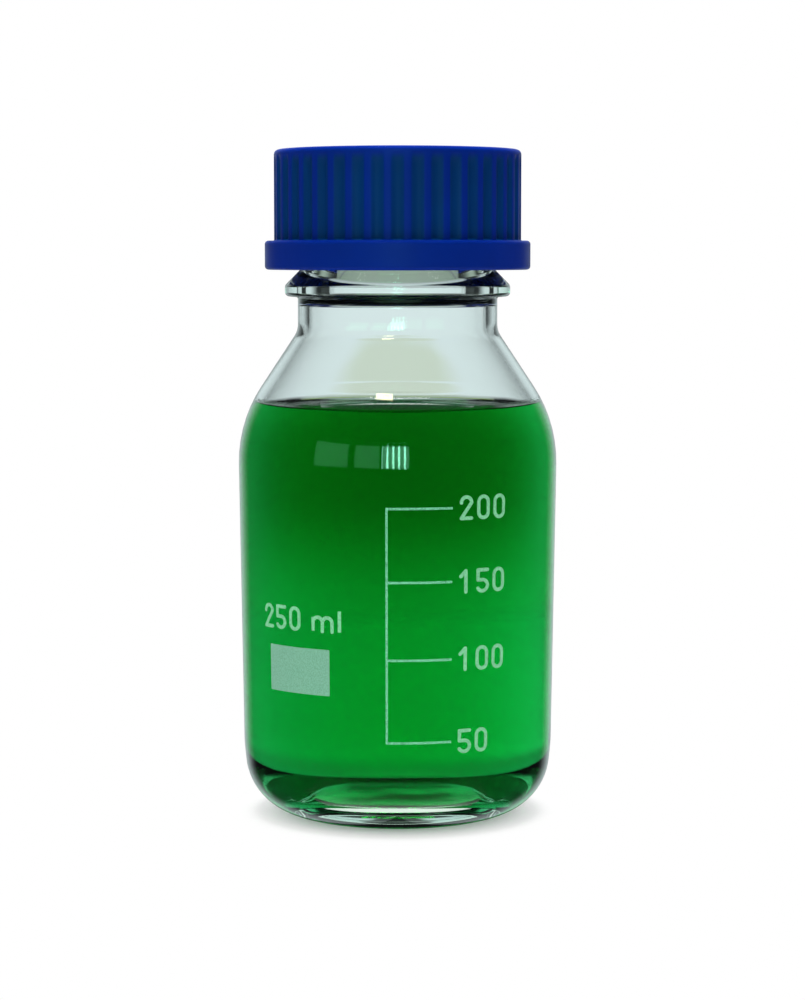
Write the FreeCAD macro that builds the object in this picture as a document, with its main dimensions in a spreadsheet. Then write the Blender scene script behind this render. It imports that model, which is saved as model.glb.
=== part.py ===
"""Screw-cap reagent bottle, 250 ml, in millimetres.

The bottle stands on its contact ring at z = 0 with its axis on +Z. The printed scale faces -Y.
Driving dimensions are cells of the sheet Sizes; the sheet Places works out heights and radii from
them with formulas. Sketches, primitives and features are bound to these cells, and the strokes of
the printed figures are drawn from them.
"""
import FreeCAD
import Part
import Sketcher
import math
import os

Vector = FreeCAD.Vector
AXIS = Vector(0, 0, 1)
ACROSS = Vector(1, 0, 0)
FULL_TURN = 360
QUARTER_TURN = 90

# What a sketch calls the points of a line or arc, its two axes and its origin
START, END, CENTRE = range(1, 4)
GROUND_LINE, AXIS_LINE = (-1, -2)
ORIGIN = (GROUND_LINE, START)

# Driving dimensions: alias, value in millimetres (or degrees, or a count), meaning
SIZES = [
    ("body_radius", 35.0, "outer radius of the body at the shoulder corner"),
    ("body_taper", 1.1, "how much narrower the body is at the heel corner"),
    ("heel_height", 15.5, "height of the corner where the heel begins to tuck in"),
    ("heel_tuck", 1.6, "how far the heel runs in from the body to the foot"),
    ("heel_side_round", 30.0, "rounding of the heel's upper corner"),
    ("heel_foot_round", 13.0, "rounding of the heel's lower corner"),
    ("foot_width", 14.8, "from the heel's lower corner in to the edge of the push-up"),
    ("pushup_slope", 3.5, "width of the sloping edge of the push-up"),
    ("pushup_height", 1.6, "height of the hollow under the base"),
    ("shoulder_height", 86.2, "height of the corner between body and shoulder"),
    ("shoulder_round", 30.0, "rounding of the shoulder, outside"),
    ("shoulder_rise", 20.0, "height of the shoulder cone up to the neck"),
    ("neck_round", 5.0, "rounding from the shoulder into the neck"),
    ("neck_swell", 0.9, "how much wider the neck is than the thread's root"),
    ("neck_length", 7.3, "plain neck between shoulder and bead"),
    ("bead_overhang", 3.7, "how far the bead stands out from the thread's root"),
    ("bead_underside", 0.3, "rise of the bead's underside"),
    ("bead_land", 2.3, "straight height of the bead"),
    ("bead_round", 0.9, "rounding of the bead's two edges"),
    ("bead_flank", 3.8, "height of the slope from the bead up to the thread's root"),
    ("finish_height", 19.0, "from the bead's slope up to the rim"),
    ("thread_root_radius", 20.9, "glass radius between the threads"),
    ("thread_depth", 1.4, "how far the thread stands out"),
    ("thread_pitch", 4.0, "rise of the thread in one turn"),
    ("thread_base", 2.4, "height of the thread ridge at its root"),
    ("thread_crest", 1.0, "height of the thread ridge at its crest"),
    ("thread_bed", 0.3, "how far a thread ridge is sunk into its wall"),
    ("thread_start", 2.1, "middle of the lowest glass thread above the bead's slope"),
    ("thread_run_out", 2.8, "from the middle of the top glass thread up to the rim land"),
    ("thread_clearance", 0.6, "radial room between the crests and roots of the two threads"),
    ("thread_play", 0.35, "how far the cap's thread lies above the middle of the glass groove"),
    ("lip_height", 4.0, "plain land under the rim"),
    ("lip_step", 1.5, "how much narrower that land is than the thread's root"),
    ("lip_wall", 4.4, "glass thickness at the rim"),
    ("rim_round", 0.8, "rounding of the rim's inner edge"),
    ("floor_thickness", 6.0, "glass thickness of the base"),
    ("wall_low", 2.5, "wall thickness just above the base"),
    ("wall", 2.4, "wall thickness of the upper body and shoulder"),
    ("inner_heel_round", 11.5, "rounding between floor and wall, inside"),
    ("inner_shoulder_round", 26.5, "rounding of the shoulder, inside"),
    ("neck_wall", 2.4, "glass thickness of the plain neck"),
    ("inner_neck_round", 7.2, "rounding from the shoulder into the neck, inside"),
    ("mouth_step_drop", 1.2, "from the bead down to where the bore begins to narrow into the mouth"),
    ("mouth_step_rise", 0.4, "from the bead up to where the bore has the width of the mouth"),
    ("mouth_step_low_round", 1.2, "rounding where the bore begins to narrow"),
    ("mouth_step_high_round", 1.2, "rounding where the bore becomes the mouth"),
    ("liquid_gap", 0.05, "room between liquid and glass"),
    ("fill_height", 3.0, "flat liquid surface above the corner of the shoulder"),
    ("meniscus_rise", 1.1, "how far the liquid climbs the wall"),
    ("meniscus_width", 3.0, "width of the curved edge of the surface"),
    ("seat_gap", 0.05, "room between rim, ring, liner and cap top"),
    ("ring_lip", 1.5, "thickness of the pouring ring over the rim"),
    ("ring_wall", 1.4, "thickness of the pouring ring's skirt"),
    ("ring_skirt", 3.4, "how far the pouring ring's skirt reaches down the rim land"),
    ("ring_mouth_step", 0.2, "how much wider than the mouth the pouring ring is inside"),
    ("ring_drip_edge", 0.5, "width of the sloping pouring edge"),
    ("liner_thickness", 2.0, "thickness of the sealing disc"),
    ("liner_clearance", 0.4, "radial room of the sealing disc in the cap"),
    ("cap_height", 26.0, "height of the cap"),
    ("cap_top", 2.95, "thickness of the cap's top"),
    ("cap_wall", 4.05, "thickness of the cap's ribbed wall"),
    ("cap_top_round", 1.1, "rounding of the cap's top edge"),
    ("flange_overhang", 2.05, "how far the flange stands out from the ribbed wall"),
    ("flange_height", 6.3, "height of the cap's plain flange"),
    ("flange_round", 0.8, "rounding of the flange's edges"),
    ("flute_count", 40, "flutes round the cap"),
    ("flute_radius", 1.8, "radius of a flute's hollow"),
    ("flute_depth", 0.6, "depth of a flute"),
    ("flute_end", 1.8, "from the top of a flute up to the top of the cap"),
    ("print_gap", 0.1, "room between enamel and glass"),
    ("print_thickness", 0.08, "thickness of the enamel"),
    ("print_line", 0.5, "width of the scale's lines and strokes"),
    ("scale_angle", -4.2, "direction of the scale line, degrees from -Y towards +X"),
    ("tick_length", 14.3, "length of a tick"),
    ("scale_low", 20.8, "height of the 50 ml tick"),
    ("scale_mid_low", 38.3, "height of the 100 ml tick"),
    ("scale_mid_high", 54.7, "height of the 150 ml tick"),
    ("scale_high", 70.2, "height of the 200 ml tick"),
    ("numeral_height", 5.2, "height of the printed figures"),
    ("numeral_width", 3.1, "width of a printed figure"),
    ("numeral_spacing", 1.0, "room between one figure and the next"),
    ("word_space", 1.0, "room between the capacity and its unit"),
    ("wide_letter", 5.3, "width of the unit's first letter"),
    ("small_letter", 0.66, "height of that letter as a share of a figure"),
    ("numeral_stroke", 0.75, "stroke of the printed figures"),
    ("numeral_gap", 1.6, "from the end of a tick to its figures"),
    ("capacity_angle", -55.0, "direction of the left edge of the capacity print, degrees"),
    ("capacity_height", 46.2, "height of the middle of the capacity print"),
    ("panel_angle", -51.8, "direction of the left edge of the marking panel, degrees"),
    ("panel_width", 16.6, "width of the marking panel"),
    ("panel_low", 30.3, "height of the lower edge of the marking panel"),
    ("panel_height", 9.8, "height of the marking panel"),
]

# Worked-out heights and radii: alias and formula
PLACES = [
    ("heel_radius", "=Sizes.body_radius - Sizes.body_taper"),
    ("foot_radius", "=heel_radius - Sizes.heel_tuck"),
    ("foot_inner_radius", "=foot_radius - Sizes.foot_width"),
    ("pushup_radius", "=foot_inner_radius - Sizes.pushup_slope"),
    ("body_slope", "=Sizes.body_taper / (Sizes.shoulder_height - Sizes.heel_height)"),
    ("neck_radius", "=Sizes.thread_root_radius + Sizes.neck_swell"),
    ("neck_low", "=Sizes.shoulder_height + Sizes.shoulder_rise"),
    ("shoulder_slope", "=(Sizes.body_radius - neck_radius) / Sizes.shoulder_rise"),
    ("bead_radius", "=Sizes.thread_root_radius + Sizes.bead_overhang"),
    ("bead_low", "=neck_low + Sizes.neck_length"),
    ("bead_edge_low", "=bead_low + Sizes.bead_underside"),
    ("bead_edge_high", "=bead_edge_low + Sizes.bead_land"),
    ("finish_low", "=bead_edge_high + Sizes.bead_flank"),
    ("rim_height", "=finish_low + Sizes.finish_height"),
    ("land_low", "=rim_height - Sizes.lip_height"),
    ("lip_radius", "=Sizes.thread_root_radius - Sizes.lip_step"),
    ("mouth_radius", "=lip_radius - Sizes.lip_wall"),
    ("inner_body_radius", "=Sizes.body_radius - Sizes.wall"),
    ("inner_floor_radius", "=heel_radius - Sizes.wall_low"),
    ("neck_bore_radius", "=neck_radius - Sizes.neck_wall"),
    ("inner_neck_low", "=Sizes.shoulder_height + (inner_body_radius - neck_bore_radius) / shoulder_slope"),
    ("mouth_step_low", "=bead_low - Sizes.mouth_step_drop"),
    ("mouth_step_high", "=bead_low + Sizes.mouth_step_rise"),
    ("thread_radius", "=Sizes.thread_root_radius + Sizes.thread_depth"),
    ("thread_bed_radius", "=Sizes.thread_root_radius - Sizes.thread_bed"),
    ("thread_middle", "=finish_low + Sizes.thread_start"),
    ("thread_base_low", "=thread_middle - Sizes.thread_base / 2"),
    ("thread_base_high", "=thread_middle + Sizes.thread_base / 2"),
    ("thread_crest_low", "=thread_middle - Sizes.thread_crest / 2"),
    ("thread_crest_high", "=thread_middle + Sizes.thread_crest / 2"),
    ("thread_top_middle", "=land_low - Sizes.thread_run_out"),
    ("thread_rise", "=thread_top_middle - thread_middle"),
    ("liquid_floor", "=Sizes.floor_thickness + Sizes.liquid_gap"),
    ("liquid_floor_radius", "=inner_floor_radius - Sizes.liquid_gap"),
    ("liquid_body_radius", "=inner_body_radius - Sizes.liquid_gap"),
    ("liquid_neck_radius", "=neck_bore_radius - Sizes.liquid_gap"),
    ("liquid_heel_round", "=Sizes.inner_heel_round - Sizes.liquid_gap"),
    ("liquid_shoulder_round", "=Sizes.inner_shoulder_round - Sizes.liquid_gap"),
    ("liquid_level", "=Sizes.shoulder_height + Sizes.fill_height"),
    ("contact_height", "=liquid_level + Sizes.meniscus_rise"),
    ("contact_radius", "=liquid_body_radius - shoulder_slope * (contact_height - Sizes.shoulder_height)"),
    ("flat_radius", "=contact_radius - Sizes.meniscus_width"),
    ("surface_slope", "=Sizes.meniscus_rise / Sizes.meniscus_width"),
    ("surface_edge", "=liquid_level + surface_slope * (Sizes.body_radius - flat_radius)"),
    ("ring_seat", "=rim_height + Sizes.seat_gap"),
    ("ring_top", "=ring_seat + Sizes.ring_lip"),
    ("ring_low", "=ring_seat - Sizes.ring_skirt"),
    ("ring_inner_radius", "=lip_radius + Sizes.seat_gap"),
    ("ring_radius", "=ring_inner_radius + Sizes.ring_wall"),
    ("ring_mouth_radius", "=mouth_radius + Sizes.ring_mouth_step"),
    ("ring_edge_radius", "=ring_radius - Sizes.ring_drip_edge"),
    ("liner_low", "=ring_top + Sizes.seat_gap"),
    ("cap_roof", "=liner_low + Sizes.liner_thickness + Sizes.seat_gap"),
    ("cap_high", "=cap_roof + Sizes.cap_top"),
    ("cap_low", "=cap_high - Sizes.cap_height"),
    ("flange_high", "=cap_low + Sizes.flange_height"),
    ("cap_bore_radius", "=thread_radius + Sizes.thread_clearance"),
    ("grip_radius", "=cap_bore_radius + Sizes.cap_wall"),
    ("flange_radius", "=grip_radius + Sizes.flange_overhang"),
    ("liner_radius", "=cap_bore_radius - Sizes.liner_clearance"),
    ("cap_thread_radius", "=Sizes.thread_root_radius + Sizes.thread_clearance"),
    ("cap_thread_bed_radius", "=cap_bore_radius + Sizes.thread_bed"),
    ("cap_thread_middle", "=thread_middle + Sizes.thread_pitch / 2 + Sizes.thread_play"),
    ("cap_thread_base_low", "=cap_thread_middle - Sizes.thread_base / 2"),
    ("cap_thread_base_high", "=cap_thread_middle + Sizes.thread_base / 2"),
    ("cap_thread_crest_low", "=cap_thread_middle - Sizes.thread_crest / 2"),
    ("cap_thread_crest_high", "=cap_thread_middle + Sizes.thread_crest / 2"),
    ("cap_thread_rise", "=thread_top_middle - cap_thread_middle"),
    ("flute_axis_radius", "=grip_radius - Sizes.flute_depth + Sizes.flute_radius"),
    ("flute_length", "=cap_high - Sizes.flute_end - flange_high"),
    ("degrees_per_width", "=180 / pi / Sizes.body_radius"),
    ("line_span", "=Sizes.print_line * degrees_per_width"),
    ("tick_span", "=Sizes.tick_length * degrees_per_width"),
    ("panel_span", "=Sizes.panel_width * degrees_per_width"),
    ("numeral_angle", "=Sizes.scale_angle + tick_span + Sizes.numeral_gap * degrees_per_width"),
    ("line_low", "=Sizes.scale_low - Sizes.print_line / 2"),
    ("line_height", "=Sizes.scale_high - Sizes.scale_low + Sizes.print_line"),
]

doc = FreeCAD.newDocument("ReagentBottle")


def fill_sheet(name, rows):
    """A sheet with one named cell per row: column B holds the number or formula."""
    sheet = doc.addObject("Spreadsheet::Sheet", name)
    for number, row in enumerate(rows, 1):
        sheet.set(f"A{number}", row[-1] if len(row) == 3 else row[0])
        sheet.set(f"B{number}", str(row[1]))
        sheet.setAlias(f"B{number}", row[0])
    doc.recompute()
    return sheet


def value(cell):
    """The number in a cell named like Sizes.wall or Places.rim_height."""
    sheet, alias = cell.split(".")
    number = doc.getObject(sheet).get(alias)
    return float(getattr(number, "Value", number))


def new_body(label):
    """An empty body that becomes the node of that name."""
    body = doc.addObject("PartDesign::Body", label)
    body.Label = label
    return body


def origin_plane(body, role):
    """One of the body's own origin planes."""
    return next(item for item in body.Origin.OriginFeatures if item.Role == role)


def pin_point(sketch, geometry, cells):
    """Bind a point to a pair of cells; None means on the axis or on the ground."""
    for kind, line, cell in (("DistanceX", AXIS_LINE, cells[0]), ("DistanceY", GROUND_LINE, cells[1])):
        if cell is None:
            sketch.addConstraint(Sketcher.Constraint("PointOnObject", geometry, START, line))
        else:
            bind(sketch, Sketcher.Constraint(kind, *ORIGIN, geometry, START, value(cell)), cell)


def bind(sketch, constraint, cell):
    """Add a measured constraint and tie its number to a cell."""
    index = sketch.addConstraint(constraint)
    sketch.setExpression(f"Constraints[{index}]", cell)


def rounded_corner(before, corner, after, radius):
    """Where a rounding leaves the first side, its centre, and where it joins the second side."""
    back = (before - corner).normalize()
    ahead = (after - corner).normalize()
    half_angle = back.getAngle(ahead) / 2
    middle = (back + ahead).normalize()
    reach = radius / math.tan(half_angle)
    return corner + back * reach, corner + middle * (radius / math.sin(half_angle)), corner + ahead * reach


def add_rounding(sketch, sides, trim, corner_cells, round_cell):
    """An arc tangent to two sides, with the sharp corner kept as a construction point."""
    leave, centre, join = trim
    start = math.atan2(leave.y - centre.y, leave.x - centre.x)
    end = math.atan2(join.y - centre.y, join.x - centre.x)
    turns_left = (end - start) % (2 * math.pi) < math.pi
    first, last = (start, end) if turns_left else (end, start)
    circle = Part.Circle(centre, AXIS, value(round_cell))
    arc = sketch.addGeometry(Part.ArcOfCircle(circle, first, first + (last - first) % (2 * math.pi)))
    leave_end, join_end = (START, END) if turns_left else (END, START)
    sketch.addConstraint(Sketcher.Constraint("Tangent", sides[0], END, arc, leave_end))
    sketch.addConstraint(Sketcher.Constraint("Tangent", arc, join_end, sides[1], START))
    bind(sketch, Sketcher.Constraint("Radius", arc, value(round_cell)), round_cell)
    point = sketch.addGeometry(Part.Point(Vector(*map(number_or_zero, corner_cells))), True)
    for side in sides:
        sketch.addConstraint(Sketcher.Constraint("PointOnObject", point, START, side))
    pin_point(sketch, point, corner_cells)


def number_or_zero(cell):
    """A cell's number, or zero for a point on the axis or on the ground."""
    return 0.0 if cell is None else value(cell)


def outline_sketch(body, name, corners):
    """A closed outline in the half-plane of radius and height.

    Each corner is a pair of cells, with a third cell where the corner is rounded.
    """
    sketch = body.newObject("Sketcher::SketchObject", name)
    sketch.AttachmentSupport = [(origin_plane(body, "XZ_Plane"), "")]
    sketch.MapMode = "FlatFace"
    count = len(corners)
    points = [Vector(*map(number_or_zero, corner[:2])) for corner in corners]
    trims = []
    for number, corner in enumerate(corners):
        sharp = points[number]
        if len(corner) == 2:
            trims.append((sharp, sharp, sharp))
        else:
            trims.append(rounded_corner(points[number - 1], sharp, points[(number + 1) % count],
                                        value(corner[2])))
    for number in range(count):
        sketch.addGeometry(Part.LineSegment(trims[number][2], trims[(number + 1) % count][0]))
    for number, corner in enumerate(corners):
        sides = ((number - 1) % count, number)
        if len(corner) == 2:
            sketch.addConstraint(Sketcher.Constraint("Coincident", sides[0], END, sides[1], START))
            pin_point(sketch, number, corner)
        else:
            add_rounding(sketch, sides, trims[number], corner[:2], corner[2])
    return sketch


def revolve(body, name, corners, kind="PartDesign::Revolution"):
    """Turn an outline once round the vertical axis; a PartDesign::Groove takes its space away."""
    sketch = outline_sketch(body, name + "_outline", corners)
    feature = body.newObject(kind, name)
    feature.Profile = sketch
    feature.ReferenceAxis = (sketch, ["V_Axis"])
    feature.Angle = FULL_TURN
    doc.recompute()
    return feature


def add_thread(body, name, corners, rise_cell):
    """A right-hand thread ridge: an outline carried up a helix."""
    sketch = outline_sketch(body, name + "_outline", corners)
    helix = body.newObject("PartDesign::AdditiveHelix", name)
    helix.Profile = sketch
    helix.ReferenceAxis = (sketch, ["V_Axis"])
    helix.Mode = "pitch-height-angle"
    helix.setExpression("Pitch", "Sizes.thread_pitch")
    helix.setExpression("Height", rise_cell)
    doc.recompute()


def make_bottle():
    """The glass: one blown and moulded piece with push-up base, shoulder, bead, thread and rim."""
    body = new_body("glass_bottle")
    revolve(body, "blown_glass", [
        (None, "Sizes.pushup_height"),
        ("Places.pushup_radius", "Sizes.pushup_height"),
        ("Places.foot_inner_radius", None),
        ("Places.foot_radius", None, "Sizes.heel_foot_round"),
        ("Places.heel_radius", "Sizes.heel_height", "Sizes.heel_side_round"),
        ("Sizes.body_radius", "Sizes.shoulder_height", "Sizes.shoulder_round"),
        ("Places.neck_radius", "Places.neck_low", "Sizes.neck_round"),
        ("Places.neck_radius", "Places.bead_low"),
        ("Places.bead_radius", "Places.bead_edge_low", "Sizes.bead_round"),
        ("Places.bead_radius", "Places.bead_edge_high", "Sizes.bead_round"),
        ("Sizes.thread_root_radius", "Places.finish_low"),
        ("Sizes.thread_root_radius", "Places.land_low"),
        ("Places.lip_radius", "Places.land_low"),
        ("Places.lip_radius", "Places.rim_height"),
        ("Places.mouth_radius", "Places.rim_height", "Sizes.rim_round"),
        ("Places.mouth_radius", "Places.mouth_step_high", "Sizes.mouth_step_high_round"),
        ("Places.neck_bore_radius", "Places.mouth_step_low", "Sizes.mouth_step_low_round"),
        ("Places.neck_bore_radius", "Places.inner_neck_low", "Sizes.inner_neck_round"),
        ("Places.inner_body_radius", "Sizes.shoulder_height", "Sizes.inner_shoulder_round"),
        ("Places.inner_floor_radius", "Sizes.floor_thickness", "Sizes.inner_heel_round"),
        (None, "Sizes.floor_thickness"),
    ])
    add_thread(body, "neck_thread", [
        ("Places.thread_bed_radius", "Places.thread_base_low"),
        ("Places.thread_radius", "Places.thread_crest_low"),
        ("Places.thread_radius", "Places.thread_crest_high"),
        ("Places.thread_bed_radius", "Places.thread_base_high"),
    ], "Places.thread_rise")
    return body


def make_pouring_ring():
    """The drip-free ring that sits on the rim and grips the land below it."""
    body = new_body("pouring_ring")
    revolve(body, "ring", [
        ("Places.ring_mouth_radius", "Places.ring_seat"),
        ("Places.ring_inner_radius", "Places.ring_seat"),
        ("Places.ring_inner_radius", "Places.ring_low"),
        ("Places.ring_radius", "Places.ring_low"),
        ("Places.ring_radius", "Places.ring_seat"),
        ("Places.ring_edge_radius", "Places.ring_top"),
        ("Places.ring_mouth_radius", "Places.ring_top"),
    ])
    return body


def make_liquid():
    """The coloured solution: the space inside the glass, cut off at its level.

    The cut rises towards the wall, because the liquid climbs the glass a little.
    """
    body = new_body("green_solution")
    revolve(body, "solution", [
        (None, "Places.liquid_floor"),
        ("Places.liquid_floor_radius", "Places.liquid_floor", "Places.liquid_heel_round"),
        ("Places.liquid_body_radius", "Sizes.shoulder_height", "Places.liquid_shoulder_round"),
        ("Places.liquid_neck_radius", "Places.inner_neck_low"),
        (None, "Places.inner_neck_low"),
    ])
    revolve(body, "surface", [
        (None, "Places.liquid_level"),
        ("Places.flat_radius", "Places.liquid_level"),
        ("Sizes.body_radius", "Places.surface_edge"),
        ("Sizes.body_radius", "Places.rim_height"),
        (None, "Places.rim_height"),
    ], "PartDesign::Groove")
    return body


def make_cap():
    """The moulded screw cap: fluted grip, plain flange at its foot and a thread inside."""
    body = new_body("screw_cap")
    revolve(body, "moulding", [
        (None, "Places.cap_roof"),
        ("Places.cap_bore_radius", "Places.cap_roof"),
        ("Places.cap_bore_radius", "Places.cap_low"),
        ("Places.flange_radius", "Places.cap_low", "Sizes.flange_round"),
        ("Places.flange_radius", "Places.flange_high", "Sizes.flange_round"),
        ("Places.grip_radius", "Places.flange_high"),
        ("Places.grip_radius", "Places.cap_high", "Sizes.cap_top_round"),
        (None, "Places.cap_high"),
    ])
    add_thread(body, "cap_thread", [
        ("Places.cap_thread_bed_radius", "Places.cap_thread_base_low"),
        ("Places.cap_thread_radius", "Places.cap_thread_crest_low"),
        ("Places.cap_thread_radius", "Places.cap_thread_crest_high"),
        ("Places.cap_thread_bed_radius", "Places.cap_thread_base_high"),
    ], "Places.cap_thread_rise")
    cut_flutes(body)
    return body


def cut_flutes(body):
    """One round-bottomed flute from the flange up to just below the top edge, repeated round the cap."""
    sketch = body.newObject("Sketcher::SketchObject", "flute_outline")
    sketch.AttachmentSupport = [(origin_plane(body, "XY_Plane"), "")]
    sketch.MapMode = "FlatFace"
    sketch.setExpression("AttachmentOffset.Base.z", "Places.flange_high")
    centre = Vector(value("Places.flute_axis_radius"), 0, 0)
    circle = sketch.addGeometry(Part.Circle(centre, AXIS, value("Sizes.flute_radius")))
    sketch.addConstraint(Sketcher.Constraint("PointOnObject", circle, CENTRE, GROUND_LINE))
    reach = Sketcher.Constraint("DistanceX", *ORIGIN, circle, CENTRE, centre.x)
    bind(sketch, reach, "Places.flute_axis_radius")
    hollow = Sketcher.Constraint("Radius", circle, value("Sizes.flute_radius"))
    bind(sketch, hollow, "Sizes.flute_radius")
    before = body.Shape.Volume
    pocket = body.newObject("PartDesign::Pocket", "flute")
    pocket.Profile = sketch
    pocket.Reversed = True
    pocket.setExpression("Length", "Places.flute_length")
    doc.recompute()
    pattern = body.newObject("PartDesign::PolarPattern", "flutes")
    pattern.Originals = [pocket]
    pattern.Axis = (sketch, ["N_Axis"])
    pattern.Angle = FULL_TURN
    pattern.setExpression("Occurrences", "Sizes.flute_count")
    body.Tip = pattern
    doc.recompute()
    print("flutes took", round(before - body.Shape.Volume, 1), "cubic millimetres")


def make_liner():
    """The sealing disc that lies loose under the cap's top."""
    disc = doc.addObject("Part::Cylinder", "cap_liner")
    disc.Label = "cap_liner"
    disc.setExpression("Radius", "Places.liner_radius")
    disc.setExpression("Height", "Sizes.liner_thickness")
    disc.setExpression("Placement.Base.z", "Places.liner_low")
    return disc


def skin_formula(height_formula, lift_formula):
    """Formula for the radius of a shell that lies over the body at a height."""
    climb = f"Places.body_slope * ({height_formula} - Sizes.heel_height)"
    return f"Places.heel_radius + {climb} + {lift_formula}"


def enamel_cone(label, low, height, start, span, lift):
    """A sector of a cone over the body, between two heights and two directions (formulas)."""
    cone = doc.addObject("Part::Cone", label)
    cone.setExpression("Radius1", skin_formula(low, lift))
    cone.setExpression("Radius2", skin_formula(f"({low} + {height})", lift))
    cone.setExpression("Height", height)
    cone.setExpression("Angle", span)
    cone.setExpression("Placement.Base.z", low)
    cone.setExpression("Placement.Rotation.Angle", f"{start} - {QUARTER_TURN}")
    return cone


def enamel_patch(label, low, height, start, span):
    """A thin enamel patch that follows the glass: an outer cone sector less an inner one."""
    patch = doc.addObject("Part::Cut", label)
    patch.Label = label
    patch.Base = enamel_cone(label + "_face", low, height, start, span,
                             "Sizes.print_gap + Sizes.print_thickness")
    patch.Tool = enamel_cone(label + "_back", low, height, start, span, "Sizes.print_gap")
    return patch


def make_scale():
    """The upright scale line with a tick at each graduation, fired on as one print."""
    strokes = [enamel_patch("scale_line", "Places.line_low", "Places.line_height",
                            "Sizes.scale_angle", "Places.line_span")]
    for mark in ("scale_low", "scale_mid_low", "scale_mid_high", "scale_high"):
        low = f"(Sizes.{mark} - Sizes.print_line / 2)"
        strokes.append(enamel_patch("tick_" + mark, low, "Sizes.print_line",
                                    "Sizes.scale_angle", "Places.tick_span"))
    scale = doc.addObject("Part::MultiFuse", "graduation_scale")
    scale.Label = "graduation_scale"
    scale.Shapes = strokes
    return scale


def make_panel():
    """The enamel field for writing on."""
    return enamel_patch("marking_panel", "Sizes.panel_low", "Sizes.panel_height",
                        "Sizes.panel_angle", "Places.panel_span")


def stroke_path(points):
    """Straight strokes through points (across, up)."""
    return [Part.makeLine(Vector(*a), Vector(*b)) for a, b in zip(points, points[1:])]


def stroke_arc(start, middle, end):
    """A round stroke through three points (across, up)."""
    return [Part.Arc(Vector(*start), Vector(*middle), Vector(*end)).toShape()]


def glyph_strokes(glyph, width, height):
    """The middle lines of a printed figure in a box of that width and height."""
    half = width / 2
    bowl = half / math.sqrt(2)
    if glyph == "0":
        low = half
        high = height - half
        return (stroke_arc((0, high), (half, height), (width, high))
                + stroke_path([(width, high), (width, low)])
                + stroke_arc((width, low), (half, 0), (0, low))
                + stroke_path([(0, low), (0, high)]))
    if glyph == "1":
        return stroke_path([(0, height - half), (half, height), (half, 0)])
    if glyph == "2":
        high = height - half
        return (stroke_arc((0, high), (half, height), (width, high))
                + stroke_path([(width, high), (0, 0), (width, 0)]))
    if glyph == "5":
        return (stroke_path([(width, height), (0, height), (0, width), (half, width)])
                + stroke_arc((half, width), (half + bowl, half + bowl), (width, half))
                + stroke_arc((width, half), (half, 0), (0, half / 2)))
    raise ValueError(f"no strokes for {glyph}")


def letter_strokes(glyph, width, height):
    """The middle lines of the unit's two letters, one list per run of the pen."""
    if glyph == "l":
        return [stroke_path([(0, 0), (0, height)])]
    half = width / 2
    top = value("Sizes.small_letter") * height
    spring = top - half / 2
    runs = [stroke_path([(0, 0), (0, top)])]
    for left in (0, half):
        right = left + half
        arch = stroke_arc((left, spring), (left + half / 2, top), (right, spring))
        runs.append(arch + stroke_path([(right, spring), (right, 0)]))
    return runs


def stroke_face(edges, stroke):
    """The inked outline of one run of strokes: a band of the stroke's width along it."""
    wire = Part.Wire(edges)
    if len(edges) == 1:
        start, end = (vertex.Point for vertex in wire.Vertexes)
        side = (end - start).cross(AXIS).normalize() * (stroke / 2)
        corners = [start + side, end + side, end - side, start - side, start + side]
        return Part.Face(Part.makePolygon(corners))
    outer = Part.Face(wire.makeOffset2D(stroke / 2))
    if not wire.isClosed():
        return outer
    return outer.cut(Part.Face(wire.makeOffset2D(-stroke / 2)))


def glyph_width(glyph):
    """How wide a figure, a letter or a word space is on the glass."""
    cells = {"m": "wide_letter", "l": "numeral_stroke", " ": "word_space"}
    return value("Sizes." + cells.get(glyph, "numeral_width"))


def printed_glyph(glyph, across, middle_height, angle):
    """One figure or letter as enamel: its outline seen along the radius, cut from a shell."""
    width = glyph_width(glyph)
    height = value("Sizes.numeral_height")
    stroke = value("Sizes.numeral_stroke")
    pen_width = width - stroke
    pen_height = height - stroke
    if glyph in "ml":
        runs = letter_strokes(glyph, pen_width, pen_height)
    else:
        runs = [glyph_strokes(glyph, pen_width, pen_height)]
    reach = Vector(0, 0, 2 * value("Sizes.body_radius"))
    blocks = [stroke_face(run, stroke).extrude(reach) for run in runs]
    block = blocks[0].multiFuse(blocks[1:]).removeSplitter() if len(blocks) > 1 else blocks[0]
    block.translate(Vector(-pen_width / 2, -pen_height / 2, 0))
    block.rotate(Vector(), ACROSS, QUARTER_TURN)
    turn = angle + (across + width / 2) * value("Places.degrees_per_width")
    block.rotate(Vector(), AXIS, turn)
    block.translate(Vector(0, 0, middle_height))
    return block.common(enamel_shell(middle_height, height))


def enamel_shell(middle_height, height):
    """A thin band right round the body, tall enough for one line of print."""
    low = middle_height - height
    gap = value("Sizes.print_gap")
    outer = gap + value("Sizes.print_thickness")

    def skin(level, lift):
        climb = value("Places.body_slope") * (level - value("Sizes.heel_height"))
        return value("Places.heel_radius") + climb + lift

    high = low + 2 * height
    cones = [Part.makeCone(skin(low, lift), skin(high, lift), 2 * height, Vector(0, 0, low), AXIS)
             for lift in (outer, gap)]
    return cones[0].cut(cones[1])


def printed_line(text, middle_height, angle):
    """A line of print: its figures side by side, spaced along the glass."""
    pieces = []
    across = 0.0
    for glyph in text:
        if glyph != " ":
            pieces.append(printed_glyph(glyph, across, middle_height, angle))
        across += glyph_width(glyph) + value("Sizes.numeral_spacing")
    return pieces


def enamel_feature(label, pieces):
    """A printed node made of separate enamel strokes."""
    feature = doc.addObject("Part::Feature", label)
    feature.Label = label
    feature.Shape = Part.makeCompound([solid for piece in pieces for solid in piece.Solids])
    feature.Placement = FreeCAD.Placement()
    return feature


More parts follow.
